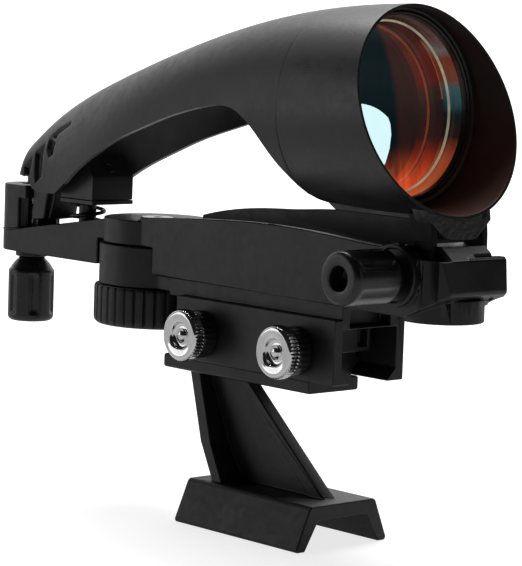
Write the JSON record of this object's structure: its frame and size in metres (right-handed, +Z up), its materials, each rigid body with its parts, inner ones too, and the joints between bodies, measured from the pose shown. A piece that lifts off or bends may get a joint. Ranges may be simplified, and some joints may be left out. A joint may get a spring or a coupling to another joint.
{
  "type": "reflex finder scope",
  "caption": "Reflex finder with a bell-shaped window hood on a two-axis adjustable bracket, female dovetail clamp and a tall riser with a dovetail foot.",
  "frame": {"origin": "centre of the dovetail foot's bottom plane", "axes": "+X is the sighting direction (the hood's mouth), -Y is the side with the clamp thumbscrews, +Z is up"},
  "size_m": [0.1958, 0.0616, 0.1454],
  "materials": {
    "abs_black": "fine stippled black ABS",
    "abs_satin": "satin black moulded plastic",
    "knob_black": "semi-gloss black moulded plastic",
    "plated": "bright nickel-chrome plating",
    "steel": "turned steel",
    "spring_steel": "drawn spring wire",
    "brass": "turned brass",
    "coated_glass": "dichroic coated glass, orange in reflection, pale cyan through",
    "clear_glass": "clear glass with an etched target",
    "seal_grey": "grey-green elastomer",
    "board": "solder-masked circuit board",
    "nylon": "natural nylon",
    "led_red": "tinted lamp body",
    "lead_red": "insulated lead"
  },
  "bodies": {
    "riser": {"riser_foot": "abs_satin"},
    "base": {"base_clamp": "abs_satin", "pivot_insert": "brass", "azimuth_nut": "brass", "thumbscrew_inserts": "brass", "dial_screw": "steel", "dimmer_board": "board"},
    "dial": {"brightness_dial": "abs_satin", "dimmer_wiper": "brass"},
    "rear_tip": {"rear_screw_tip": "nylon"},
    "rear_thumbscrew": {"rear_screw_stud": "steel", "rear_screw_collar": "knob_black", "rear_screw_head": "plated"},
    "front_tip": {"front_screw_tip": "nylon"},
    "front_thumbscrew": {"front_screw_stud": "steel", "front_screw_collar": "knob_black", "front_screw_head": "plated"},
    "frame": {"bracket_frame": "abs_satin", "pivot_screw": "steel", "pivot_washer": "steel", "hinge_pin": "steel", "spring_guide_post": "abs_satin", "coin_cell": "steel", "battery_contact": "spring_steel", "battery_lead": "lead_red", "altitude_spring": "spring_steel", "azimuth_spring": "spring_steel"},
    "battery_door": {"battery_door": "abs_satin", "battery_seal": "seal_grey"},
    "altitude_knob": {"altitude_knob": "knob_black", "altitude_screw": "steel", "altitude_clip": "spring_steel"},
    "azimuth_knob": {"azimuth_knob": "knob_black", "azimuth_screw": "steel", "azimuth_clip": "spring_steel"},
    "head": {"head_shell": "abs_black", "reflex_window": "coated_glass", "window_gasket": "seal_grey", "window_retainer": "abs_satin", "emitter_housing": "abs_satin", "emitter_cover": "abs_satin", "emitter_screws": "steel", "lamp_board": "board", "lamp_led": "led_red", "reticle_disc": "clear_glass", "altitude_nut": "brass"}
  },
  "joints": [
    {"name": "rail_slide", "type": "slide", "parent": "riser", "child": "base", "axis": [1, 0, 0], "range_m": [-0.05, 0.012]},
    {"name": "azimuth", "type": "hinge", "parent": "base", "child": "frame", "pos_m": [-0.056, 0, 0.075], "axis": [0, 0, 1], "range_deg": [-2, 2], "deforming": ["azimuth_spring"]},
    {"name": "altitude", "type": "hinge", "parent": "frame", "child": "head", "pos_m": [0.0605, 0, 0.0793], "axis": [0, 1, 0], "range_deg": [-0.55, 0.7], "deforming": ["altitude_spring"]},
    {"name": "altitude_knob_turn", "type": "hinge", "parent": "frame", "child": "altitude_knob", "pos_m": [-0.1155, 0, 0.06], "axis": [0, 0, 1], "range_deg": [-870, 1107]},
    {"name": "azimuth_knob_turn", "type": "hinge", "parent": "frame", "child": "azimuth_knob", "pos_m": [0.0543, -0.02, 0.0769], "axis": [0, 1, 0], "range_deg": [-1982, 1982]},
    {"name": "brightness_turn", "type": "hinge", "parent": "base", "child": "dial", "pos_m": [-0.056, 0, 0.057], "axis": [0, 0, -1], "range_deg": [0, 270]},
    {"name": "rear_screw_travel", "type": "slide", "parent": "base", "child": "rear_tip", "axis": [0, -1, 0], "range_m": [0, 0.0021]},
    {"name": "rear_screw_turn", "type": "hinge", "parent": "rear_tip", "child": "rear_thumbscrew", "pos_m": [-0.0197, -0.018, 0.0532], "axis": [0, -1, 0], "range_deg": [0, 1081]},
    {"name": "front_screw_travel", "type": "slide", "parent": "base", "child": "front_tip", "axis": [0, -1, 0], "range_m": [0, 0.0021]},
    {"name": "front_screw_turn", "type": "hinge", "parent": "front_tip", "child": "front_thumbscrew", "pos_m": [0.0184, -0.018, 0.0532], "axis": [0, -1, 0], "range_deg": [0, 1081]},
    {"name": "battery_door_drop", "type": "slide", "parent": "frame", "child": "battery_door", "axis": [0, 0, -1], "range_m": [0, 0.012]}
  ],
  "couplings": [
    {"joint": "altitude_knob_turn", "follows": "altitude", "ratio": 1579.8},
    {"joint": "azimuth_knob_turn", "follows": "azimuth", "ratio": 990.05},
    {"joint": "rear_screw_turn", "follows": "rear_screw_travel", "rad_per_m": 8976},
    {"joint": "front_screw_turn", "follows": "front_screw_travel", "rad_per_m": 8976}
  ]
}
